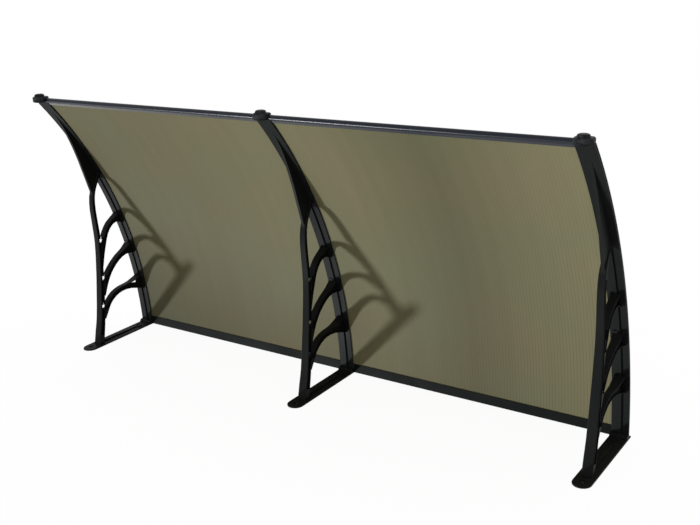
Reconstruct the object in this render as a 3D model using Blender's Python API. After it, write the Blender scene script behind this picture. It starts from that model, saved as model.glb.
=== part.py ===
"""Two-bay door awning: bent twin-wall sheets on three moulded brackets, with aluminium bars.

Metres. X runs along the wall, +Z points straight out from the wall and -Y points down the wall,
so the awning stands on its wall plates, as it does before it is fixed. The origin is the middle of
the footprint.
"""

import math

import bmesh
import bpy
from mathutils import Matrix, Vector

# Layout along the wall
bracket_spacing = 0.972
bracket_names = ("left", "middle", "right")
bay_names = ("left", "right")

# Bending arc that the arms, sheets and cover strips share
arm_radius = 1.4705         # to the front face of the arm, which is the hollow side of the awning
arc_drop = 0.030            # the arc's centre lies this far behind the wall plane
arc_steps = 22

# Clearances
fit_gap = 0.0003            # between pieces that rest on each other
slot_gap = 0.0004           # between a sheet and the walls of a bar's slot
screw_gap = 0.0003          # around a screw shank or head
screw_tip_gap = 0.0015      # under a screw's tip
cutter_spare = 0.010        # how far a cutter runs past what it cuts

# Wall plate of a bracket
plate_width = 0.056
plate_thickness = 0.005
plate_edge = 0.0012         # bevel round the plate's top
plate_rear = 0.018          # past the arm's front face at the wall
tongue_centre = 0.297       # centre of the round front end, in front of the arm
wall_hole_radius = 0.0045
wall_recess_radius = 0.010
wall_recess_depth = 0.0015
rear_hole_reach = 0.052     # rear wall hole, in front of the arm
rear_boss_radius = 0.014
rear_boss_foot = 0.015
rear_boss_height = 0.004
plate_rib_width = 0.009
plate_rib_height = 0.007
heel_depth = 0.014
heel_height = 0.010
heel_overhang = 0.001       # past each side of the arm

# Arm of a bracket
arm_width = 0.052
arm_thickness = 0.004
arm_rib_width = 0.008
arm_rib_depth = 0.005
arm_rib_end = 0.665
ridge_width = 0.012         # between the two sheets, under the cover strip
arm_spare = 0.002           # past the arm's back, before the room for the sheets is cut away

# Strut of a bracket: reach in front of the arm, height, width along X, depth
strut_stations = (
    (0.2539, 0.003, 0.031, 0.024),
    (0.2416, 0.050, 0.031, 0.022),
    (0.2265, 0.100, 0.030, 0.020),
    (0.2002, 0.200, 0.028, 0.018),
    (0.1698, 0.300, 0.026, 0.016),
    (0.1401, 0.390, 0.024, 0.014),
    (0.1197, 0.460, 0.023, 0.013),
    (0.1005, 0.519, 0.022, 0.013),
    (0.0757, 0.568, 0.021, 0.012),
    (0.0471, 0.602, 0.018, 0.012),
    (0.0178, 0.628, 0.016, 0.011),
)
strut_top = 0.652           # height at which the strut runs out in the arm
strut_chamfer = 0.0016

# Branches from the strut to the arm: reach in front of the arm, height, width along X, depth
branches = (
    (
        (0.1633, 0.300, 0.024, 0.008),
        (0.1475, 0.340, 0.024, 0.017),
        (0.1227, 0.381, 0.024, 0.018),
        (0.0949, 0.419, 0.024, 0.017),
        (0.0616, 0.4475, 0.024, 0.0175),
        (0.0274, 0.4625, 0.027, 0.022),
    ),
    (
        (0.1930, 0.185, 0.024, 0.010),
        (0.1751, 0.222, 0.024, 0.018),
        (0.1527, 0.2535, 0.024, 0.0195),
        (0.1241, 0.2805, 0.024, 0.018),
        (0.0807, 0.309, 0.024, 0.018),
        (0.0387, 0.3255, 0.027, 0.022),
    ),
    (
        (0.2140, 0.095, 0.024, 0.008),
        (0.1971, 0.125, 0.024, 0.017),
        (0.1754, 0.1525, 0.024, 0.018),
        (0.1416, 0.174, 0.024, 0.019),
        (0.1046, 0.184, 0.024, 0.019),
        (0.0595, 0.185, 0.027, 0.024),
    ),
)
branch_ends = (             # height, width and depth at the arm
    (0.465, 0.038, 0.048),
    (0.336, 0.038, 0.050),
    (0.184, 0.038, 0.058),
)
branch_chamfer = 0.0020

# Strut and branches are flanged webs: their sides are hollow down to the web
web_thickness = 0.005
web_step = 0.0003           # the web of a branch and then of a root is this much thicker on each side
flange_thickness = 0.0026
recess_low = 0.020          # the strut is solid below this height
recess_high = 0.575         # and above this one, where it joins the gusset

# Holes through the web under the branch roots, the wider hollows round them, and the hole in the
# lowest fork: reach in front of the arm, height
root_holes = ((0.1235, 0.397), (0.1688, 0.252), (0.2045, 0.142))
root_hole_size = (0.013, 0.016)
root_hollow_size = (0.025, 0.030)
fork_hole = ((0.0190, 0.2015), (0.0478, 0.19), (0.0216, 0.1845))

# Gusset web between the strut's top and the arm; its start is a reach in front of the arm and a height
gusset_thickness = 0.009
gusset_start = (0.0709, 0.582)
gusset_end = 0.905
gusset_lean = 0.30
gusset_handle_low = 0.100
gusset_handle_high = 0.110

# Head at the front end of a bracket
head_inset = 0.0005         # its sides, inside the arm's sides
head_ahead = 0.0044         # centre of the round end, in front of the arm's top
head_behind = 0.0176        # straight rear side, behind the arm's top
head_lift = 0.0010          # above the sheets' front edge
head_room = 0.0045          # over the ends of sheet and strip
head_height = 0.0185        # from its bottom to the shoulder
head_corner = 0.013         # radius of the two rear corners
head_edge = 0.0025
cap_radius = 0.0170
cap_height = 0.0090
cap_ahead = 0.0025          # centre of the cap, in front of the head's centre

# Sheets
sheet_thickness = 0.005
sheet_start = 0.0118        # height of the wall-side edge
sheet_end = 0.943           # height of the front edge

# Cover strips
strip_width = 0.050
strip_thickness = 0.0025
strip_crown = 0.0010

# Screws through the cover strips, and their heights
screw_heights = (0.055, 0.270, 0.480, 0.680)
top_screw_drop = 0.083      # of one more screw, below the sheets' front edge
screw_radius = 0.0020
screw_head_radius = 0.0042
screw_head_height = 0.0026
screw_length = 0.0110
screw_slot_width = 0.0010
screw_slot_depth = 0.0012

# Front bars
tube_radius = 0.0080
tube_wall = 0.0018
lip_length = 0.010
lip_thickness = 0.0018
plug_length = 0.014
tube_lift = 0.0005          # of the tube's wall over the slot's end
tube_centre = slot_gap + tube_lift + tube_radius

# Rear bars and their seals
rear_bar_height = 0.034
rear_bar_back_height = 0.026
rear_bar_wall = 0.0018
rear_bar_bottom = 0.0010
rear_web = 0.0020
rear_foot = 0.0020

# Derived radii of the layers on an arm, from the hollow side outwards
arm_back = arm_radius + arm_thickness
sheet_front = arm_back + fit_gap
sheet_back = sheet_front + sheet_thickness
strip_front = sheet_back + fit_gap
strip_back = strip_front + strip_thickness
sheet_middle = (sheet_front + sheet_back) / 2
arc_centre_y = -math.sqrt(arm_radius ** 2 - arc_drop ** 2)

round_segments = 20
small_segments = 12
corner_segments = 4
rows_per_span = 2           # between two stations of a strut or branch


def clear_scene():
    for item in list(bpy.data.objects):
        bpy.data.objects.remove(item, do_unlink=True)


def material(name, colour, roughness, metallic=0.0):
    made = bpy.data.materials.new(name)
    made.use_nodes = True
    shader = made.node_tree.nodes["Principled BSDF"]
    shader.inputs["Base Color"].default_value = (*colour, 1.0)
    shader.inputs["Roughness"].default_value = roughness
    shader.inputs["Metallic"].default_value = metallic
    return made


def arc_y(radius, height):
    """Y of the point at this height on the circle of this radius."""
    return arc_centre_y + math.sqrt(radius ** 2 - (height + arc_drop) ** 2)


def arm_reach(height):
    """How far the arm's front face stands in front of the wall corner at this height."""
    return -arc_y(arm_radius, height)


def arc_angle(radius, height):
    return math.asin((height + arc_drop) / radius)


# Derived places of the head
head_radius = arm_width / 2 - head_inset
head_reach = arm_reach(sheet_end) + head_ahead
head_rear = arm_reach(sheet_end) - head_behind
head_bottom = sheet_end + head_lift
head_underside = head_bottom + head_room
head_shoulder = head_bottom + head_height
cap_reach = head_reach + cap_ahead
frame_shift = (head_reach + head_radius - plate_rear) / 2


def end_height(radius):
    """Height on this circle of the square cut at the sheets' front edge."""
    return radius * math.sin(arc_angle(sheet_middle, sheet_end)) - arc_drop


def arc_heights(radius, low, high):
    """Heights from low to high on one circle, at the angles that all layers share."""
    first = arc_angle(arm_radius, 0.0)
    last = arc_angle(sheet_middle, sheet_end)
    start = arc_angle(radius, low)
    stop = arc_angle(radius, high)
    margin = 0.2 * (last - first) / arc_steps
    heights = [low]
    for step in range(arc_steps + 1):
        angle = first + (last - first) * step / arc_steps
        if start + margin < angle < stop - margin:
            heights.append(radius * math.sin(angle) - arc_drop)
    heights.append(high)
    return heights


def arc_line(radius, low, high):
    return [(arc_y(radius, height), height) for height in arc_heights(radius, low, high)]


def new_object(name, shape, look=None):
    bmesh.ops.recalc_face_normals(shape, faces=shape.faces)
    mesh = bpy.data.meshes.new(name)
    shape.to_mesh(mesh)
    shape.free()
    made = bpy.data.objects.new(name, mesh)
    bpy.context.scene.collection.objects.link(made)
    if look:
        mesh.materials.append(look)
    return made


def loft(name, rings):
    """A closed body through rings of equal point count, capped at both ends."""
    shape = bmesh.new()
    rows = [[shape.verts.new(point) for point in ring] for ring in rings]
    count = len(rows[0])
    for low, high in zip(rows, rows[1:]):
        for index in range(count):
            after = (index + 1) % count
            shape.faces.new((low[index], low[after], high[after], high[index]))
    shape.faces.new(rows[0])
    shape.faces.new(rows[-1])
    return new_object(name, shape)


def prism(name, outline, left, right):
    """An outline of (y, z) points, run from left to right along X."""
    return loft(name, [[Vector((x, y, z)) for y, z in outline] for x in (left, right)])


def tower(name, outline_at, levels):
    """A body of stacked outlines: levels are (z, inset) and outline_at gives the points at an inset."""
    return loft(name, [[Vector((x, y, z)) for x, y in outline_at(inset)] for z, inset in levels])


def circle_points(centre_x, centre_y, radius, segments):
    turn = 2 * math.pi / segments
    return [(centre_x + radius * math.cos(turn * (step + 0.5)),
             centre_y + radius * math.sin(turn * (step + 0.5))) for step in range(segments)]


def disc(name, centre_y, levels, segments=round_segments):
    """A turned body on the line x = 0, y = centre_y: levels are (z, radius)."""
    rings = []
    for z, radius in levels:
        rings.append([Vector((x, y, z)) for x, y in circle_points(0.0, centre_y, radius, segments)])
    return loft(name, rings)


def sweep(name, path, widths, depths, chamfer):
    """A bar of rectangular section, chamfered or not, along a path of (y, z) points."""
    rings = []
    for index, (y, z) in enumerate(path):
        before = path[max(index - 1, 0)]
        after = path[min(index + 1, len(path) - 1)]
        along = Vector((0.0, after[0] - before[0], after[1] - before[1])).normalized()
        across = Vector((0.0, -along.z, along.y))
        half = widths[index] / 2
        deep = depths[index] / 2
        corners = []
        for side, face in ((1, 1), (-1, 1), (-1, -1), (1, -1)):
            near_side = (side * half, face * (deep - chamfer))
            near_face = (side * (half - chamfer), face * deep)
            if chamfer == 0.0:
                corners.append(near_face)
            else:
                corners += [near_side, near_face] if side * face > 0 else [near_face, near_side]
        rings.append([Vector((offset, y, z)) + across * lift for offset, lift in corners])
    return loft(name, rings)


def combine(base, tools, operation):
    """Applies one Boolean to base with all the tools at once, and removes them."""
    group = bpy.data.collections.new("tools")
    for tool in tools:
        group.objects.link(tool)
    modifier = base.modifiers.new(operation, "BOOLEAN")
    modifier.operation = operation
    modifier.solver = "EXACT"
    modifier.operand_type = "COLLECTION"
    modifier.collection = group
    graph = bpy.context.evaluated_depsgraph_get()
    result = bpy.data.meshes.new_from_object(base.evaluated_get(graph))
    base.modifiers.clear()
    base.data = result
    for tool in tools:
        bpy.data.objects.remove(tool, do_unlink=True)
    bpy.data.collections.remove(group)
    return base


def tidy(piece, look, name=None):
    """Joins points left on top of each other by the Booleans, and shades the round faces smooth."""
    shape = bmesh.new()
    shape.from_mesh(piece.data)
    bmesh.ops.remove_doubles(shape, verts=shape.verts, dist=0.00002)
    bmesh.ops.dissolve_degenerate(shape, dist=0.00002, edges=shape.edges)
    bmesh.ops.dissolve_limit(shape, angle_limit=math.radians(0.3), verts=shape.verts,
                             edges=shape.edges, delimit={"NORMAL"})
    shape.to_mesh(piece.data)
    shape.free()
    piece.data.materials.clear()
    piece.data.materials.append(look)
    piece.data.shade_smooth()
    piece.data.set_sharp_from_angle(angle=math.radians(32))
    if name:
        piece.name = name
        piece.data.name = name
    return piece


def bezier(start, handle_a, handle_b, stop, steps):
    points = []
    for step in range(steps + 1):
        t = step / steps
        weights = ((1 - t) ** 3, 3 * t * (1 - t) ** 2, 3 * t * t * (1 - t), t ** 3)
        corners = (start, handle_a, handle_b, stop)
        points.append((sum(w * c[0] for w, c in zip(weights, corners)),
                       sum(w * c[1] for w, c in zip(weights, corners))))
    return points


# Bracket

def plate_outline(inset):
    half = plate_width / 2 - inset
    points = [(half, plate_rear - inset), (-half, plate_rear - inset)]
    for step in range(round_segments // 2 + 1):
        angle = math.pi + math.pi * step / (round_segments // 2)
        points.append((half * math.cos(angle), -tongue_centre + half * math.sin(angle)))
    return points


def make_plate():
    plate = tower("plate", plate_outline, [(0.0, 0.0), (plate_thickness - plate_edge, 0.0),
                                           (plate_thickness, plate_edge)])
    sunk = plate_thickness / 2
    rib_top = plate_thickness + plate_rib_height
    rib_start = strut_rows()[0][0]
    rib_outline = [(-rib_start, sunk), (-rib_start, rib_top),
                   (-rear_hole_reach, rib_top - plate_rib_height / 2), (-rear_hole_reach, sunk)]
    rib = prism("plate_rib", rib_outline, -plate_rib_width / 2, plate_rib_width / 2)
    boss_top = plate_thickness + rear_boss_height
    boss = disc("boss", -rear_hole_reach, [(sunk, rear_boss_foot), (boss_top, rear_boss_radius)])
    heel_top = plate_thickness + heel_height
    outline = [(-heel_depth, sunk), (-heel_depth, heel_top - heel_height / 2),
               (-heel_depth / 2, heel_top), (arm_thickness / 2, heel_top), (arm_thickness / 2, sunk)]
    half = arm_width / 2 + heel_overhang
    heel = prism("heel", outline, -half, half)
    return combine(plate, [rib, boss, heel], "UNION")


def make_arm():
    low = plate_thickness / 2
    high = (head_underside + head_shoulder) / 2
    front = arc_line(arm_radius, low, high)
    back = arc_line(arm_back + arm_spare, low, high)
    arm = prism("arm", front + back[::-1], -arm_width / 2, arm_width / 2)
    rib_front = arc_line(arm_radius - arm_rib_depth, low, arm_rib_end)
    rib_back = arc_line(arm_radius + arm_thickness / 2, low, arm_rib_end)
    rib = prism("arm_rib", rib_front + rib_back[::-1], -arm_rib_width / 2, arm_rib_width / 2)
    return combine(arm, [rib], "UNION")


def make_ridge():
    low = plate_thickness / 2
    high = (head_underside + head_shoulder) / 2
    front = arc_line(arm_radius + arm_thickness / 2, low, high)
    back = arc_line(sheet_back, low, high)
    return prism("ridge", front + back[::-1], -ridge_width / 2, ridge_width / 2)


def smooth_stations(stations, shift=0.0):
    """Rows on a smooth curve through the stations. A shift of 0.5 puts them half a step further on."""
    rows = []
    last = len(stations) - 1
    for index in range(last):
        around = [stations[min(max(index + shift, 0), last)] for shift in (-1, 0, 1, 2)]
        for step in range(rows_per_span):
            t = (step + shift) / rows_per_span
            weights = (-t ** 3 + 2 * t ** 2 - t, 3 * t ** 3 - 5 * t ** 2 + 2,
                       -3 * t ** 3 + 4 * t ** 2 + t, t ** 3 - t ** 2)
            rows.append(tuple(sum(w * row[k] for w, row in zip(weights, around)) / 2 for k in range(4)))
    rows.append(stations[-1])
    return rows


def before_arm(points):
    """The same points or rows with their reach measured from the wall corner."""
    return [(arm_reach(point[1]) + point[0], *point[1:]) for point in points]


def strut_rows(shift=0.0):
    width, depth = strut_stations[-1][2:]
    end = (-arc_y(arm_radius + arm_thickness / 2, strut_top), strut_top, width, depth)
    return smooth_stations(before_arm(strut_stations) + [end], shift)


def branch_rows(branch, end, end_radius, shift=0.0):
    """A branch's rows up to the circle of this radius."""
    height, width, depth = end
    end_row = (-arc_y(end_radius, height), height, width, depth)
    return smooth_stations(before_arm(branch) + [end_row], shift)


def sweep_rows(name, rows, chamfer):
    path = [(-row[0], row[1]) for row in rows]
    return sweep(name, path, [row[2] for row in rows], [row[3] for row in rows], chamfer)


def side_hollows(rows, floor):
    """Cutters for both sides of a web that follows these rows; floor is half the web's thickness."""
    cutters = []
    path = [(-row[0], row[1]) for row in rows]
    depths = [row[3] - 2 * flange_thickness for row in rows]
    for side in (-1, 1):
        cutter = sweep("hollow", path, [arm_width] * len(path), depths, 0.0)
        shift = side * (floor + arm_width / 2)
        cutter.data.transform(Matrix.Translation((shift, 0.0, 0.0)))
        cutters.append(cutter)
    return cutters


def oval(centre, size):
    """Points of an upright oval round a (reach, height) centre."""
    points = []
    for step in range(small_segments):
        angle = 2 * math.pi * step / small_segments
        points.append((-centre[0] + size[0] / 2 * math.cos(angle), centre[1] + size[1] / 2 * math.sin(angle)))
    return points


def hollow_cutters():
    """Cutters beside the webs. Their rows lie between those of the limbs, so no edges coincide."""
    floor = web_thickness / 2
    strut = [row for row in strut_rows(0.5) if recess_low < row[1] < recess_high]
    cutters = side_hollows(strut, floor)
    floor += web_step
    for branch, end in zip(branches, branch_ends):
        cutters += side_hollows(branch_rows(branch[1:], end, arm_radius - flange_thickness, 0.5), floor)
    floor += web_step
    for centre in before_arm(root_holes):
        outline = oval(centre, root_hollow_size)
        cutters.append(prism("root_hollow", outline, floor, arm_width))
        cutters.append(prism("root_hollow", outline, -arm_width, -floor))
    return cutters


def make_gusset():
    start = before_arm([gusset_start])[0]
    top_reach = arm_reach(gusset_end)
    slope = arc_angle(arm_radius, gusset_end)
    lean = Vector((gusset_lean, 1.0)).normalized() * gusset_handle_low
    handle_a = (start[0] + lean.x, start[1] + lean.y)
    handle_b = (top_reach - gusset_handle_high * math.sin(slope),
                gusset_end - gusset_handle_high * math.cos(slope))
    front = bezier(start, handle_a, handle_b, (top_reach, gusset_end), 10)
    outline = [(-reach, height) for reach, height in front]
    inner = arm_radius + arm_thickness / 2
    outline += arc_line(inner, strut_top, gusset_end)[::-1]
    upper_strut = [station for station in strut_stations if station[1] > gusset_start[1] - 0.02]
    outline += [(-reach, height) for reach, height, _, _ in before_arm(upper_strut)[::-1]]
    return prism("gusset", outline, -gusset_thickness / 2, gusset_thickness / 2)


def head_outline(inset):
    radius = head_radius - inset
    corner = head_corner - inset
    points = []
    for side, start in ((1, 0.0), (-1, math.pi / 2)):
        for step in range(corner_segments + 1):
            angle = start + math.pi / 2 * step / corner_segments
            points.append((side * (head_radius - head_corner) + corner * math.cos(angle),
                           -head_rear - head_corner + corner * math.sin(angle)))
    for step in range(round_segments // 2 + 1):
        angle = math.pi + math.pi * step / (round_segments // 2)
        points.append((radius * math.cos(angle), -head_reach + radius * math.sin(angle)))
    return points


def make_head():
    head = tower("head", head_outline, [(head_bottom, head_edge), (head_bottom + head_edge, 0.0),
                                        (head_shoulder - head_edge, 0.0), (head_shoulder, head_edge)])
    top = head_shoulder + cap_height
    cap = disc("cap", -cap_reach, [(head_shoulder - head_edge / 2, cap_radius), (top - 0.0040, cap_radius - 0.0006),
                                   (top - 0.0012, cap_radius - 0.0028), (top, cap_radius - 0.0062)])
    return combine(head, [cap], "UNION")


def layer_cutter():
    """The room behind the arm for the sheets and the cover strip, up to the head's underside."""
    low = plate_thickness - plate_edge
    front = arc_line(arm_back, low, head_underside)
    far = arc_line(strip_back + cutter_spare, low, head_underside)
    return prism("layers", front + far[::-1], -plate_width, plate_width)


def hole_cutters():
    cutters = []
    for centre in before_arm(root_holes):
        cutters.append(prism("root_hole", oval(centre, root_hole_size), -arm_width, arm_width))
    triangle = [(-reach, height) for reach, height in before_arm(fork_hole)]
    cutters.append(prism("fork_hole", triangle, -arm_width, arm_width))
    through = (-cutter_spare, plate_thickness + rear_boss_height + cutter_spare)
    recess_floor = plate_thickness - wall_recess_depth
    for reach in (tongue_centre, rear_hole_reach):
        cutters.append(disc("wall_hole", -reach, [(z, wall_hole_radius) for z in through], small_segments))
    cutters.append(disc("wall_recess", -tongue_centre,
                        [(recess_floor, wall_recess_radius), (through[1], wall_recess_radius)]))
    cutters.append(disc("rear_recess", -rear_hole_reach,
                        [(recess_floor + rear_boss_height, wall_recess_radius), (through[1], wall_recess_radius)]))
    return cutters


def screw_frames():
    """Where the strip screws sit: on the strip's outer face, pointing straight out of it."""
    frames = []
    for height in screw_heights + (sheet_end - top_screw_drop,):
        radius = strip_back + strip_crown + fit_gap
        angle = arc_angle(radius, height)
        place = Matrix.Translation((0.0, arc_y(radius, height), height))
        frames.append(place @ Matrix.Rotation(angle - math.pi / 2, 4, "X"))
    return frames


def head_screw_seat():
    return head_shoulder + cap_height - screw_head_height


def screw_holes(seat_recess):
    """Cutters for one bracket's screws: the strip screws' shanks, and the head screw's shank and recess."""
    cutters = []
    hole = screw_radius + screw_gap
    deep = screw_length + screw_tip_gap
    for frame in screw_frames():
        cutter = disc("screw_hole", 0.0, [(-deep, hole), (cutter_spare, hole)], small_segments)
        cutter.data.transform(frame)
        cutters.append(cutter)
    if seat_recess:
        seat = head_screw_seat()
        above = seat + cutter_spare
        cutters.append(disc("head_hole", -cap_reach, [(seat - deep, hole), (above, hole)], small_segments))
        recess = screw_head_radius + screw_gap
        cutters.append(disc("head_recess", -cap_reach, [(seat - screw_gap, recess), (above, recess)]))
    return cutters


def make_bracket(look):
    bracket = sweep_rows("strut", strut_rows(), strut_chamfer)
    limbs = []
    for branch, end in zip(branches, branch_ends):
        rows = branch_rows(branch, end, arm_radius + arm_thickness / 2)
        limbs.append(sweep_rows("branch", rows, branch_chamfer))
    combine(bracket, limbs, "UNION")
    combine(bracket, hollow_cutters(), "DIFFERENCE")
    combine(bracket, [make_arm(), make_gusset(), make_head()], "UNION")
    combine(bracket, [layer_cutter()], "DIFFERENCE")
    combine(bracket, [make_plate(), make_ridge()], "UNION")
    combine(bracket, hole_cutters() + screw_holes(True), "DIFFERENCE")
    return tidy(bracket, look, "bracket")


# Sheets, strips and screws

def make_sheet(look):
    front = arc_line(sheet_front, sheet_start, end_height(sheet_front))
    back = arc_line(sheet_back, sheet_start, end_height(sheet_back))
    edge = ridge_width / 2 + fit_gap
    return tidy(prism("sheet", front + back[::-1], edge, bracket_spacing - edge), look)


def make_strip(look):
    """A strip with a slightly crowned outer face."""
    low = plate_thickness + fit_gap
    high = head_underside - fit_gap - strip_thickness
    across = ((-0.5, 0.0), (-0.5, 0.6), (-0.42, 1.0), (0.42, 1.0), (0.5, 0.6), (0.5, 0.0))
    rings = []
    for height in arc_heights(strip_front, low, high):
        angle = arc_angle(strip_front, height)
        outward = Vector((0.0, math.cos(angle), math.sin(angle)))
        foot = Vector((0.0, arc_y(strip_front, height), height))
        thick = strip_thickness + strip_crown
        rings.append([foot + Vector((side * strip_width, 0.0, 0.0)) + outward * lift * thick
                      for side, lift in across])
    strip = loft("strip", rings)
    combine(strip, screw_holes(False), "DIFFERENCE")
    return tidy(strip, look)


def make_screw(look):
    """A pan head screw with a cross slot, its head's underside on z = 0."""
    top = screw_head_height
    screw = disc("screw", 0.0, [(-screw_length, screw_radius * 0.4), (-screw_length + 0.002, screw_radius),
                                (0.0, screw_radius), (0.0, screw_head_radius), (top * 0.55, screw_head_radius),
                                (top * 0.9, screw_head_radius * 0.8), (top, screw_head_radius * 0.55)],
                 small_segments)
    reach = screw_head_radius * 0.62
    slots = []
    for wide, long in ((screw_slot_width, reach), (reach, screw_slot_width)):
        outline = [(-long / 2, top - screw_slot_depth), (-long / 2, top + 0.001),
                   (long / 2, top + 0.001), (long / 2, top - screw_slot_depth)]
        slots.append(prism("slot", outline, -wide / 2, wide / 2))
    combine(screw, slots, "DIFFERENCE")
    return tidy(screw, look)


# Bars

def make_front_bar(look):
    """A tube with a slotted lip that takes the sheet's front edge."""
    slot_half = sheet_thickness / 2 + slot_gap
    lip_half = slot_half + lip_thickness
    neck = math.asin(lip_half / tube_radius)
    outline = [(-lip_half, -lip_length)]
    for step in range(round_segments - 3):
        angle = -math.pi / 2 - neck - (2 * math.pi - 2 * neck) * step / (round_segments - 4)
        outline.append((tube_radius * math.cos(angle), tube_centre + tube_radius * math.sin(angle)))
    outline += [(lip_half, -lip_length), (slot_half, -lip_length), (slot_half, slot_gap),
                (-slot_half, slot_gap), (-slot_half, -lip_length)]
    start = arm_width / 2 + fit_gap
    stop = bracket_spacing - start
    bar = prism("front_bar", [front_bar_point(n, t) for n, t in outline], start, stop)
    bore_y, bore_z = front_bar_point(0.0, tube_centre)
    bore = round_bar("bore", bore_y, bore_z, tube_radius - tube_wall, start - cutter_spare, stop + cutter_spare)
    return tidy(combine(bar, [bore], "DIFFERENCE"), look)


def front_bar_point(outward, along):
    """The (y, z) place of a point of the front bar's section, measured from the sheet's front edge."""
    angle = arc_angle(sheet_middle, sheet_end)
    y = arc_y(sheet_middle, sheet_end) + outward * math.cos(angle) - along * math.sin(angle)
    z = sheet_end + outward * math.sin(angle) + along * math.cos(angle)
    return y, z


def round_bar(name, y, z, radius, left, right):
    outline = circle_points(y, z, radius, round_segments)
    return prism(name, outline, left, right)


def make_plug(look, left):
    y, z = front_bar_point(0.0, tube_centre)
    radius = tube_radius - tube_wall - fit_gap
    return tidy(round_bar("plug", y, z, radius, left, left + plug_length), look)


def rear_bar_lines():
    inner_front = sheet_front - slot_gap
    inner_back = sheet_back + slot_gap
    return inner_front - rear_bar_wall, inner_front, inner_back, inner_back + rear_bar_wall


def make_rear_bar(look):
    front, inner_front, inner_back, back = rear_bar_lines()
    web_top = sheet_start - fit_gap
    web_bottom = web_top - rear_web
    low = rear_bar_bottom
    places = ((front, low), (front, rear_bar_height), (inner_front, rear_bar_height), (inner_front, web_top),
              (inner_back, web_top), (inner_back, rear_bar_back_height), (back, rear_bar_back_height),
              (back, low + rear_foot))
    outline = [(arc_y(radius, height), height) for radius, height in places]
    outline += [(plate_rear, low + rear_foot), (plate_rear, low)]
    underside = ((inner_back, low), (inner_back, web_bottom), (inner_front, web_bottom), (inner_front, low))
    outline += [(arc_y(radius, height), height) for radius, height in underside]
    start = plate_width / 2 + fit_gap
    return tidy(prism("rear_bar", outline, start, bracket_spacing - start), look)


def make_seal(look):
    """A rubber strip in the groove under the rear bar, which stands on the wall."""
    front, inner_front, inner_back, back = rear_bar_lines()
    top = sheet_start - rear_web - 2 * fit_gap
    left = arc_y(inner_front, 0.0) + fit_gap
    right = arc_y(inner_back, top) - fit_gap
    inset = (right - left) / 4
    outline = [(left, rear_bar_bottom), (left, top), (right, top), (right, rear_bar_bottom),
               (right - inset, 0.0), (left + inset, 0.0)]
    start = plate_width / 2 + fit_gap
    return tidy(prism("seal", outline, start, bracket_spacing - start), look)


# Assembly

def place(name, source, x, holder, frame=Matrix()):
    """A copy of a model at one bracket or bay, turned and moved there by its frame."""
    copy = bpy.data.objects.new(name, source.data)
    bpy.context.scene.collection.objects.link(copy)
    copy.parent = holder
    copy.matrix_local = Matrix.Translation((x, 0.0, 0.0)) @ frame
    return copy


def main():
    clear_scene()
    moulded = material("black_plastic", (0.013, 0.014, 0.015), 0.38)
    bronze = material("bronze_sheet", (0.195, 0.178, 0.124), 0.45)
    gloss_black = material("gloss_black_aluminium", (0.020, 0.022, 0.026), 0.18, 0.6)
    matt_black = material("matt_black_aluminium", (0.013, 0.014, 0.015), 0.42, 0.3)
    rubber = material("rubber", (0.010, 0.010, 0.010), 0.80)
    steel = material("black_screw_steel", (0.060, 0.060, 0.065), 0.35, 0.9)

    holder = bpy.data.objects.new("awning", None)
    bpy.context.scene.collection.objects.link(holder)
    holder.location = (0.0, frame_shift, 0.0)

    bracket = make_bracket(moulded)
    strip = make_strip(gloss_black)
    screw = make_screw(steel)
    head_frame = Matrix.Translation((0.0, -cap_reach, head_screw_seat()))
    for index, name in enumerate(bracket_names):
        x = (index - 1) * bracket_spacing
        place("bracket_" + name, bracket, x, holder)
        place("cover_strip_" + name, strip, x, holder)
        place("head_screw_" + name, screw, x, holder, head_frame)
        for number, frame in enumerate(screw_frames(), start=1):
            place("strip_screw_%s_%d" % (name, number), screw, x, holder, frame)

    bay_models = {
        "sheet": make_sheet(bronze),
        "front_bar": make_front_bar(gloss_black),
        "rear_bar": make_rear_bar(matt_black),
        "wall_seal": make_seal(rubber),
    }
    bar_start = arm_width / 2 + fit_gap
    near_plug = make_plug(moulded, bar_start)
    far_plug = make_plug(moulded, bracket_spacing - bar_start - plug_length)
    for index, name in enumerate(bay_names):
        x = (index - 1) * bracket_spacing
        for kind, model in bay_models.items():
            place(kind + "_" + name, model, x, holder)
        place("bar_plug_%d" % (2 * index + 1), near_plug, x, holder)
        place("bar_plug_%d" % (2 * index + 2), far_plug, x, holder)

    for model in [bracket, strip, screw, near_plug, far_plug, *bay_models.values()]:
        bpy.data.objects.remove(model, do_unlink=True)


main()
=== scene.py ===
"""Looks of the two-bay door awning: materials, the finer meshes, camera, light and stage.

Metres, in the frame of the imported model: X along the wall, +Z out from the wall, -Y down the wall.
"""

import math

import bmesh
import bpy
from mathutils import Matrix, Vector


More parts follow.
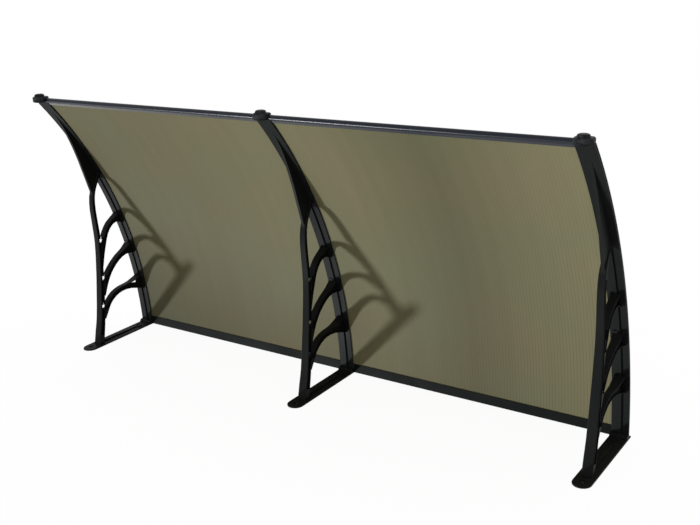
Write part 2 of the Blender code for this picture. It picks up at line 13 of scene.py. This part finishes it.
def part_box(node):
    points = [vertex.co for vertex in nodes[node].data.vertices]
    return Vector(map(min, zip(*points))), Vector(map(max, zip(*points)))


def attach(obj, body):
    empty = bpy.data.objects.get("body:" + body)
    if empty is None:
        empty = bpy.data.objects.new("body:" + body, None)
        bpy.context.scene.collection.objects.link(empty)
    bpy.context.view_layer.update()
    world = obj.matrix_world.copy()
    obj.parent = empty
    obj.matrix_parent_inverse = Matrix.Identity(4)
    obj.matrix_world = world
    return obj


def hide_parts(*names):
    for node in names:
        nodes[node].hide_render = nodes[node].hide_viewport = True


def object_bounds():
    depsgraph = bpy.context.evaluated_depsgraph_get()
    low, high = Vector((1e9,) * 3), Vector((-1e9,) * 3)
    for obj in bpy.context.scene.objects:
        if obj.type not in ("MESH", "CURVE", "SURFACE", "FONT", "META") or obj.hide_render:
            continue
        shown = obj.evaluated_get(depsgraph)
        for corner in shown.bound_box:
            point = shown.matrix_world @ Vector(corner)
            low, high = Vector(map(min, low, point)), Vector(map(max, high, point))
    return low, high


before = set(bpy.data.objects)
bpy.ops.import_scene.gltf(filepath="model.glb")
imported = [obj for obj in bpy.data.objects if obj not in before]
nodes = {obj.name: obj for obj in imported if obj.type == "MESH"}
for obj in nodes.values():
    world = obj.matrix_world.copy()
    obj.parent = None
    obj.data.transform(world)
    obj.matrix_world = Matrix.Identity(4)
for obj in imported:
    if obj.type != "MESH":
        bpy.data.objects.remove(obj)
cad_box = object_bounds()

scene = bpy.context.scene
sides = ("left", "middle", "right")
bays = ("left", "right")

# Camera that took the photograph
camera_place = (1.7938, -2.3543, 1.4118)
camera_yaw = 34.70
camera_pitch = 18.04
camera_roll = -2.42
camera_lens = 50.03

# Bending arc of the sheets
arc_centre_y = -1.28044
arc_centre_z = -0.030
sheet_front_radius = 1.4748
sheet_back_radius = 1.4798
flute_pitch = 0.010
flute_sink = 0.00018
flute_steps = 4
arc_steps = 40

# Tones and painted light: (place, level) stops run along X, from the left end to the right end
left_end = cad_box[0][0]
right_end = cad_box[1][0]
# Painted reflection on the front bars' lip, strongest at the left end
lip_reflection_across = ((0.0, 0.78), (0.22, 0.36), (0.5, 0.18), (0.7, 0.08), (1.0, 0.04))
# Painted shade and reflection across the front of the sheets
painted_light_across = ((0.0, 1.13), (0.25, 1.25), (0.45, 1.47), (0.58, 1.48), (0.75, 1.06), (0.97, 1.72))
back_tone = 1.55

# Ranges that shade.span maps: from, to, level at the first, level at the second
rib_line_by_height = (0.15, 0.85, 0.44, 0.19)
rib_line_by_place = (0.2, 0.9, 0.45, 1.0)
# Painted shade low on the front of the sheets: full at the foot, gone by z = 0.5, only left of x = 0.4 and
# strongest at the left end
painted_low_shade_by_height = (0.05, 0.50, 1.0, 0.0)
painted_low_shade_by_place = (left_end, 0.4, 0.74, 1.0)
rib_line_shape = (0.55, 1.0, 0.0, 1.0)
plastic_flow = (0.35, 0.7, 0.0, 1.0)
# Patches of painted sheen on the heads
head_sheen_patches = (0.42, 0.62, 0.15, 1.0)
bronze_drift = (0.35, 0.65, 0.0, 1.0)
noise_low = 0.3                 # ends of the range that noise mostly keeps to
noise_high = 0.7

# Foot of the bracket heads, above which a painted sheen makes the plastic greyer than the rest
head_low = 0.945
head_blend = 0.006

# Stage and light
floor_glow = 0.93
floor_paint = (0.140, 0.143, 0.155)
floor_bounce = (0.6, 0.6, 0.6)
floor_size = 60.0
bracket_spacing = sum(corner[0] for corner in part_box("bracket_right")) / 2
# Painted shade on the floor under the wall plates: half width across X, and span along Y
plate_shade_half_width = 0.010      # of the dark floor under each wall plate
plate_shade_y = (-0.118, 0.200)
sky_seen = 1.0
sky_light = 0.50
sky_colour = (1.0, 0.98, 0.90)
sun_power = 1.9
sun_colour = (0.98, 1.0, 1.04)
sun_spread = 5.0                # degrees
sun_direction = (0.583, 0.555, 0.594)

# Edge rounding of the finer pieces, with angles in degrees
merge_distance = 0.00002
flat_angle = 1.0
rounded_angle = 38
sharp_angle = 34
sheet_sharp_angle = 50
rounding_segments = 2
bracket_rounding = 0.0006
front_bar_rounding = 0.0003
rear_bar_rounding = 0.0005
strip_rounding = 0.0004

# Sheets
bronze_green = (0.147, 0.145, 0.083)
bronze_brown = (0.161, 0.144, 0.084)
bronze_streak = (0.134, 0.126, 0.070)
bronze_rib = (0.085, 0.076, 0.042)
streak_strength = 0.35
sheet_shine = 0.06
sheet_roughness = (0.52, 0.60)
sheet_waviness = 0.0002

# Moulded plastic
plastic_dark = (0.009, 0.010, 0.010)
plastic_light = (0.013, 0.014, 0.014)
# Painted sheen on the heads
head_painted_sheen = (0.050, 0.056, 0.062)
plastic_shine = 0.06
plastic_roughness = (0.46, 0.56)
grain_depth = 0.00004

# Coated aluminium
bar_black = (0.006, 0.011, 0.023)
strip_black = (0.005, 0.009, 0.018)
matt_black = (0.004, 0.005, 0.005)
# Painted reflection on the front bars' lip
lip_painted_reflection = (0.30, 0.30, 0.28)
lip_blend = 0.0012
bar_shine = 0.24
bar_roughness = (0.21, 0.28)
strip_shine = 0.30
strip_roughness = (0.24, 0.32)
matt_shine = 0.04
matt_roughness = (0.44, 0.54)
die_line_depth = 0.00003

# Seals and screws
seal_black = (0.010, 0.010, 0.010)
seal_roughness = 0.75
seal_grain_depth = 0.00006
steel_dark = (0.13, 0.13, 0.135)
steel_metallic = 0.9
steel_roughness = (0.25, 0.42)


# Node helpers

def calculate(tree, operation, first, second=0.0):
    """A math node of two numbers or sockets."""
    node = tree.nodes.new("ShaderNodeMath")
    node.operation = operation
    for socket, value in zip(node.inputs, (first, second)):
        if isinstance(value, (int, float)):
            socket.default_value = value
        else:
            tree.links.new(value, socket)
    return node.outputs[0]


class Shade:
    """A material under construction, with one Principled shader."""

    def __init__(self, name, colour, roughness, metallic=0.0):
        self.material = bpy.data.materials.new(name)
        self.material.use_nodes = True
        self.tree = self.material.node_tree
        self.shader = self.tree.nodes["Principled BSDF"]
        self.place = self.tree.nodes.new("ShaderNodeTexCoord").outputs["Object"]
        self.set("Base Color", (*colour, 1.0))
        self.set("Roughness", roughness)
        self.set("Metallic", metallic)

    def set(self, name, value):
        self.shader.inputs[name].default_value = value

    def link(self, source, target):
        self.tree.links.new(source, target)

    def axes(self):
        node = self.tree.nodes.new("ShaderNodeSeparateXYZ")
        self.link(self.place, node.inputs["Vector"])
        return node

    def along(self, direction, start):
        """Distance along a direction from a start place."""
        node = self.tree.nodes.new("ShaderNodeVectorMath")
        node.operation = "DOT_PRODUCT"
        node.inputs[1].default_value = direction
        self.link(self.place, node.inputs[0])
        return self.math("SUBTRACT", node.outputs["Value"], Vector(direction).dot(Vector(start)))

    def arc_radius(self):
        """Distance from the axis of the sheets' arc."""
        node = self.tree.nodes.new("ShaderNodeVectorMath")
        node.operation = "MULTIPLY_ADD"
        node.inputs[1].default_value = (0.0, 1.0, 1.0)
        node.inputs[2].default_value = (0.0, -arc_centre_y, -arc_centre_z)
        self.link(self.place, node.inputs[0])
        length = self.tree.nodes.new("ShaderNodeVectorMath")
        length.operation = "LENGTH"
        self.link(node.outputs["Vector"], length.inputs[0])
        return length.outputs["Value"]

    def noise(self, scale, detail=2.0, stretch=(1.0, 1.0, 1.0)):
        mapping = self.tree.nodes.new("ShaderNodeMapping")
        mapping.inputs["Scale"].default_value = stretch
        self.link(self.place, mapping.inputs["Vector"])
        texture = self.tree.nodes.new("ShaderNodeTexNoise")
        texture.inputs["Scale"].default_value = scale
        texture.inputs["Detail"].default_value = detail
        self.link(mapping.outputs["Vector"], texture.inputs["Vector"])
        return texture.outputs["Fac"]

    def math(self, operation, first, second=0.0):
        return calculate(self.tree, operation, first, second)

    def span(self, source, low, high, to_low, to_high):
        """Maps a value from one range to another, held at the ends."""
        node = self.tree.nodes.new("ShaderNodeMapRange")
        for name, value in (("From Min", low), ("From Max", high), ("To Min", to_low), ("To Max", to_high)):
            node.inputs[name].default_value = value
        self.link(source, node.inputs["Value"])
        return node.outputs["Result"]

    def spread(self, noise, levels):
        """Maps noise to a range of levels."""
        return self.span(noise, noise_low, noise_high, *levels)

    def mix(self, factor, first, second):
        """A colour between two colours or sockets."""
        node = self.tree.nodes.new("ShaderNodeMix")
        node.data_type = "RGBA"
        if isinstance(factor, (int, float)):
            node.inputs["Factor"].default_value = factor
        else:
            self.link(factor, node.inputs["Factor"])
        for socket, value in ((node.inputs[6], first), (node.inputs[7], second)):
            if isinstance(value, tuple):
                socket.default_value = (*value, 1.0)
            else:
                self.link(value, socket)
        return node.outputs[2]

    def ramp(self, source, stops):
        """A value that runs between (place, level) stops, of levels up to 2."""
        node = self.tree.nodes.new("ShaderNodeValToRGB")
        band = node.color_ramp
        while len(band.elements) < len(stops):
            band.elements.new(0.5)
        for element, (place, level) in zip(band.elements, stops):
            element.position = place
            element.color = (level / 2, level / 2, level / 2, 1.0)
        self.link(source, node.inputs["Fac"])
        return self.math("MULTIPLY", node.outputs["Color"], 2.0)

    def bump(self, height, distance, strength=1.0):
        node = self.tree.nodes.new("ShaderNodeBump")
        node.inputs["Distance"].default_value = distance
        node.inputs["Strength"].default_value = strength
        self.link(height, node.inputs["Height"])
        self.link(node.outputs["Normal"], self.shader.inputs["Normal"])


def moulded_plastic():
    """Black moulded plastic: fine spark-eroded grain, faint flow streaks, and a painted sheen in grey
    patches on the head.
    """
    shade = Shade("moulded_black_plastic", plastic_dark, plastic_roughness[0])
    shade.set("Specular IOR Level", plastic_shine)
    grain = shade.noise(2600.0, 3.0)
    flow = shade.noise(14.0, 3.0, (1.0, 1.0, 0.3))
    head = shade.span(shade.axes().outputs["Z"], head_low, head_low + head_blend, 0.0, 1.0)
    # Painted sheen in grey patches over the heads
    sheen_patches = shade.span(shade.noise(55.0, 3.0), *head_sheen_patches)
    body = shade.mix(shade.span(flow, *plastic_flow), plastic_dark, plastic_light)
    painted_head_sheen = shade.math("MULTIPLY", head, sheen_patches)
    shade.link(shade.mix(painted_head_sheen, body, head_painted_sheen), shade.shader.inputs["Base Color"])
    shade.link(shade.spread(flow, plastic_roughness), shade.shader.inputs["Roughness"])
    shade.bump(grain, grain_depth, 0.5)
    return shade.material


def sheet_colour(shade, x, z, drift):
    """Bronze with faint streaks, and a darker line over each rib, strongest low on the right."""
    streak = shade.noise(30.0, 2.0, (1.0, 0.05, 0.05))
    base = shade.mix(shade.span(drift, *bronze_drift), bronze_green, bronze_brown)
    streaked = shade.mix(shade.spread(streak, (0.0, streak_strength)), base, bronze_streak)
    wave = shade.math("COSINE", shade.math("MULTIPLY", x, 2 * math.pi / flute_pitch))
    rib = shade.span(wave, *rib_line_shape)
    strength = shade.math("MULTIPLY", shade.span(z, *rib_line_by_height), shade.span(x, *rib_line_by_place))
    return shade.mix(shade.math("MULTIPLY", rib, strength), streaked, bronze_rib)


def sheet_tone_with_painted_light(shade, x, z):
    """Brightness of the sheets: on the front, which the light rakes, painted shade and reflection across X
    and painted shade low down; on the back, an even level.
    """
    # Painted shade and reflection across X, then painted shade low down on the left
    across = shade.ramp(shade.span(x, left_end, right_end, 0.0, 1.0), painted_light_across)
    painted_low_shade_share = shade.math("SUBTRACT", 1.0, shade.span(x, *painted_low_shade_by_place))
    painted_low_shade = shade.math("MULTIPLY", shade.span(z, *painted_low_shade_by_height), painted_low_shade_share)
    after_painted_low_shade = shade.math("SUBTRACT", 1.0, painted_low_shade)
    back = shade.math("GREATER_THAN", shade.arc_radius(), (sheet_front_radius + sheet_back_radius) / 2)
    front = shade.math("SUBTRACT", 1.0, back)
    painted_front_light = shade.math("MULTIPLY", shade.math("MULTIPLY", across, after_painted_low_shade), front)
    return shade.math("ADD", painted_front_light, shade.math("MULTIPLY", back, back_tone))


def bronze_sheet():
    """Bronze twin-wall sheet, with slow drifts of colour and gloss, and painted shade and reflection on its
    front.
    """
    shade = Shade("bronze_twin_wall", bronze_green, sheet_roughness[0])
    shade.set("Specular IOR Level", sheet_shine)
    place = shade.axes()
    x, z = place.outputs["X"], place.outputs["Z"]
    drift = shade.noise(3.4, 4.0, (1.0, 0.8, 1.0))
    scaled = shade.tree.nodes.new("ShaderNodeVectorMath")
    scaled.operation = "SCALE"
    shade.link(sheet_colour(shade, x, z, drift), scaled.inputs[0])
    shade.link(sheet_tone_with_painted_light(shade, x, z), scaled.inputs["Scale"])
    shade.link(scaled.outputs["Vector"], shade.shader.inputs["Base Color"])
    shade.link(shade.spread(drift, sheet_roughness), shade.shader.inputs["Roughness"])
    shade.bump(shade.noise(60.0, 2.0, (1.0, 0.2, 0.2)), sheet_waviness, 0.25)
    return shade.material


def coated_aluminium(name, colour, roughness, shine):
    """Black coated extrusion, with faint die lines along X."""
    shade = Shade(name, colour, roughness[0])
    shade.set("Specular IOR Level", shine)
    lines = shade.noise(900.0, 2.0, (0.004, 1.0, 1.0))
    cloud = shade.noise(9.0, 3.0)
    shade.link(shade.spread(cloud, roughness), shade.shader.inputs["Roughness"])
    shade.bump(lines, die_line_depth, 0.35)
    return shade


def front_bar_coat():
    """The gloss coat of the front bars, with a painted reflection in grey on the lip that grips the sheets,
    strongest at the left end.
    """
    shade = coated_aluminium("front_bar_coat", bar_black, bar_roughness, bar_shine)
    angle = math.asin((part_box("sheet_left")[1][2] - arc_centre_z) / sheet_back_radius)
    past_edge = shade.along((0.0, -math.sin(angle), math.cos(angle)), (0.0, arc_centre_y, arc_centre_z))
    lip = shade.span(past_edge, 0.0, lip_blend, 1.0, 0.0)
    # Painted reflection on the lip, strongest at the left end
    lip_reflection_strength = shade.ramp(shade.span(shade.axes().outputs["X"], left_end, right_end, 0.0, 1.0), lip_reflection_across)
    shade.link(shade.mix(shade.math("MULTIPLY", lip, lip_reflection_strength), bar_black, lip_painted_reflection),
               shade.shader.inputs["Base Color"])
    return shade.material


def rubber():
    """Matt rubber with a fine grain."""
    shade = Shade("seal_rubber", seal_black, seal_roughness)
    shade.bump(shade.noise(1800.0, 2.0), seal_grain_depth, 0.5)
    return shade.material


def screw_steel():
    """Blackened steel with uneven gloss."""
    shade = Shade("blackened_steel", steel_dark, steel_roughness[0], steel_metallic)
    shade.link(shade.spread(shade.noise(700.0), steel_roughness), shade.shader.inputs["Roughness"])
    return shade.material


# Pieces

def wear(node, look):
    """Gives a CAD node its finish."""
    mesh = nodes[node].data
    mesh.materials.clear()
    mesh.materials.append(look)


def dress(piece, node, look):
    """A finer piece that stands for a CAD node."""
    piece.data.materials.clear()
    piece.data.materials.append(look)
    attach(piece, "root")
    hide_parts(node)


def add_piece(name, shape):
    mesh = bpy.data.meshes.new(name)
    shape.to_mesh(mesh)
    shape.free()
    piece = bpy.data.objects.new(name, mesh)
    scene.collection.objects.link(piece)
    return piece


def rounded_copy(node, width):
    """A copy of a CAD node whose sharp edges are rounded."""
    shape = bmesh.new()
    shape.from_mesh(nodes[node].data)
    bmesh.ops.remove_doubles(shape, verts=shape.verts, dist=merge_distance)
    bmesh.ops.dissolve_limit(shape, angle_limit=math.radians(flat_angle),
                             verts=shape.verts, edges=shape.edges)
    piece = add_piece(node + "_detail", shape)
    bevel = piece.modifiers.new("rounding", "BEVEL")
    bevel.width = width
    bevel.segments = rounding_segments
    bevel.limit_method = "ANGLE"
    bevel.angle_limit = math.radians(rounded_angle)
    bevel.use_clamp_overlap = True
    graph = bpy.context.evaluated_depsgraph_get()
    mesh = bpy.data.meshes.new_from_object(piece.evaluated_get(graph))
    piece.modifiers.clear()
    piece.data = mesh
    mesh.shade_smooth()
    mesh.set_sharp_from_angle(angle=math.radians(sharp_angle))
    flatten = piece.modifiers.new("flat_faces", "WEIGHTED_NORMAL")
    flatten.keep_sharp = True
    return piece


def round_off(node, width, look):
    """Stands a rounded copy in the place of a CAD node."""
    dress(rounded_copy(node, width), node, look)


def make_sheet(bay):
    """A bent twin-wall sheet, whose skins sink a little between the ribs."""
    node = "sheet_" + bay
    low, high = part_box(node)
    cells = round((high[0] - low[0]) / flute_pitch)
    columns = cells * flute_steps
    first = math.asin((low[2] - arc_centre_z) / sheet_front_radius)
    last = math.asin((high[2] - arc_centre_z) / sheet_back_radius)
    shape = bmesh.new()
    skins = []
    for radius, inward in ((sheet_front_radius, 1.0), (sheet_back_radius, -1.0)):
        rows = []
        for step in range(arc_steps + 1):
            angle = first + (last - first) * step / arc_steps
            row = []
            for column in range(columns + 1):
                x = low[0] + (high[0] - low[0]) * column / columns
                share = (column % flute_steps) / flute_steps
                sink = flute_sink * math.sin(math.pi * share)
                reach = radius + inward * sink
                row.append(shape.verts.new((x, arc_centre_y + reach * math.cos(angle),
                                            arc_centre_z + reach * math.sin(angle))))
            rows.append(row)
        skins.append(rows)
        for lower, upper in zip(rows, rows[1:]):
            for index in range(columns):
                shape.faces.new((lower[index], lower[index + 1], upper[index + 1], upper[index]))
    front, back = skins
    for near, far in ((front[0], back[0]), (front[-1], back[-1]),
                      ([row[0] for row in front], [row[0] for row in back]),
                      ([row[-1] for row in front], [row[-1] for row in back])):
        for index in range(len(near) - 1):
            shape.faces.new((near[index], near[index + 1], far[index + 1], far[index]))
    bmesh.ops.recalc_face_normals(shape, faces=shape.faces)
    piece = add_piece("fluted_" + node, shape)
    piece.data.shade_smooth()
    piece.data.set_sharp_from_angle(angle=math.radians(sheet_sharp_angle))
    return piece


# Stage, light and camera

def emission_floor():
    """White floor that still takes the object's shadow."""
    made = bpy.data.materials.new("white_floor")
    made.use_nodes = True
    tree = made.node_tree
    tree.nodes.clear()
    glow = tree.nodes.new("ShaderNodeEmission")
    tree.links.new(floor_glow_with_painted_shade(tree), glow.inputs["Strength"])
    paint = tree.nodes.new("ShaderNodeBsdfDiffuse")
    paint.inputs["Color"].default_value = (*floor_paint, 1.0)
    both = tree.nodes.new("ShaderNodeAddShader")
    tree.links.new(glow.outputs[0], both.inputs[0])
    tree.links.new(paint.outputs[0], both.inputs[1])
    plain = tree.nodes.new("ShaderNodeBsdfDiffuse")
    plain.inputs["Color"].default_value = (*floor_bounce, 1.0)
    pick = tree.nodes.new("ShaderNodeMixShader")
    tree.links.new(seen_directly(tree), pick.inputs["Fac"])
    tree.links.new(plain.outputs[0], pick.inputs[1])
    tree.links.new(both.outputs[0], pick.inputs[2])
    output = tree.nodes.new("ShaderNodeOutputMaterial")
    tree.links.new(pick.outputs[0], output.inputs["Surface"])
    return made


def floor_glow_with_painted_shade(tree):
    """The floor's glow, off under the wall plates as painted shade there, so that their bolt holes are dark
    inside.
    """
    def step(operation, first, second=0.0):
        return calculate(tree, operation, first, second)

    axes = tree.nodes.new("ShaderNodeSeparateXYZ")
    tree.links.new(tree.nodes.new("ShaderNodeTexCoord").outputs["Object"], axes.inputs["Vector"])
    across = step("ABSOLUTE", axes.outputs["X"])
    nearest = step("MINIMUM", across, step("ABSOLUTE", step("SUBTRACT", across, bracket_spacing)))
    # Painted shade: no glow on the top of the floor under each wall plate
    painted_plate_shade = step("LESS_THAN", nearest, plate_shade_half_width)
    painted_plate_shade = step("MULTIPLY", painted_plate_shade, step("GREATER_THAN", axes.outputs["Y"], plate_shade_y[0]))
    painted_plate_shade = step("MULTIPLY", painted_plate_shade, step("LESS_THAN", axes.outputs["Y"], plate_shade_y[1]))
    above = step("SUBTRACT", 1.0, tree.nodes.new("ShaderNodeNewGeometry").outputs["Backfacing"])
    painted_plate_shade = step("MULTIPLY", painted_plate_shade, above)
    return step("MULTIPLY", step("SUBTRACT", 1.0, painted_plate_shade), floor_glow)


def seen_directly(tree):
    """1 for camera, glossy and transmission rays, else 0."""
    path = tree.nodes.new("ShaderNodeLightPath")
    total = path.outputs["Is Camera Ray"]
    for name in ("Is Glossy Ray", "Is Transmission Ray"):
        total = calculate(tree, "MAXIMUM", total, path.outputs[name])
    return total


def make_stage():
    shape = bmesh.new()
    bmesh.ops.create_grid(shape, x_segments=1, y_segments=1, size=floor_size / 2)
    floor = add_piece("floor", shape)
    floor.data.materials.append(emission_floor())
    floor.visible_shadow = False
    world = bpy.data.worlds.new("studio")
    world.use_nodes = True
    tree = world.node_tree
    background = tree.nodes["Background"]
    direct = seen_directly(tree)
    tint = tree.nodes.new("ShaderNodeMix")
    tint.data_type = "RGBA"
    tint.inputs[6].default_value = (*sky_colour, 1.0)
    tint.inputs[7].default_value = (1.0, 1.0, 1.0, 1.0)
    tree.links.new(direct, tint.inputs["Factor"])
    tree.links.new(tint.outputs[2], background.inputs["Color"])
    level = tree.nodes.new("ShaderNodeMapRange")
    level.inputs["To Min"].default_value = sky_light
    level.inputs["To Max"].default_value = sky_seen
    tree.links.new(direct, level.inputs["Value"])
    tree.links.new(level.outputs["Result"], background.inputs["Strength"])
    scene.world = world


def make_lights():
    sun = bpy.data.lights.new("key", "SUN")
    sun.energy = sun_power
    sun.color = sun_colour
    sun.angle = math.radians(sun_spread)
    lamp = bpy.data.objects.new("key", sun)
    lamp.rotation_euler = Vector(sun_direction).to_track_quat("-Z", "Y").to_euler()
    scene.collection.objects.link(lamp)


def make_camera():
    yaw, pitch, roll = (math.radians(turn) for turn in (camera_yaw, camera_pitch, camera_roll))
    forward = Vector((-math.sin(yaw) * math.cos(pitch), math.cos(yaw) * math.cos(pitch), -math.sin(pitch)))
    level = Vector((math.cos(yaw), math.sin(yaw), 0.0))
    upright = level.cross(forward)
    right = level * math.cos(roll) + upright * math.sin(roll)
    up = upright * math.cos(roll) - level * math.sin(roll)
    turned = Matrix((right, up, -forward)).transposed().to_4x4()
    data = bpy.data.cameras.new("camera")
    data.lens = camera_lens
    camera = bpy.data.objects.new("camera", data)
    camera.matrix_world = Matrix.Translation(Vector(camera_place)) @ turned
    scene.collection.objects.link(camera)
    scene.camera = camera


def main():
    plastic = moulded_plastic()
    bronze = bronze_sheet()
    gloss = coated_aluminium("gloss_black_coat", strip_black, strip_roughness, strip_shine).material
    matt = coated_aluminium("matt_black_coat", matt_black, matt_roughness, matt_shine).material
    front_coat = front_bar_coat()
    black_rubber = rubber()
    steel = screw_steel()

    for side in sides:
        round_off("bracket_" + side, bracket_rounding, plastic)
        round_off("cover_strip_" + side, strip_rounding, gloss)
    for bay in bays:
        dress(make_sheet(bay), "sheet_" + bay, bronze)
        round_off("front_bar_" + bay, front_bar_rounding, front_coat)
        round_off("rear_bar_" + bay, rear_bar_rounding, matt)
        wear("wall_seal_" + bay, black_rubber)
    for node in nodes:
        if "screw" in node:
            wear(node, steel)
        if "plug" in node:
            wear(node, plastic)

    make_stage()
    make_lights()
    make_camera()
    scene.view_settings.view_transform = "Standard"


main()
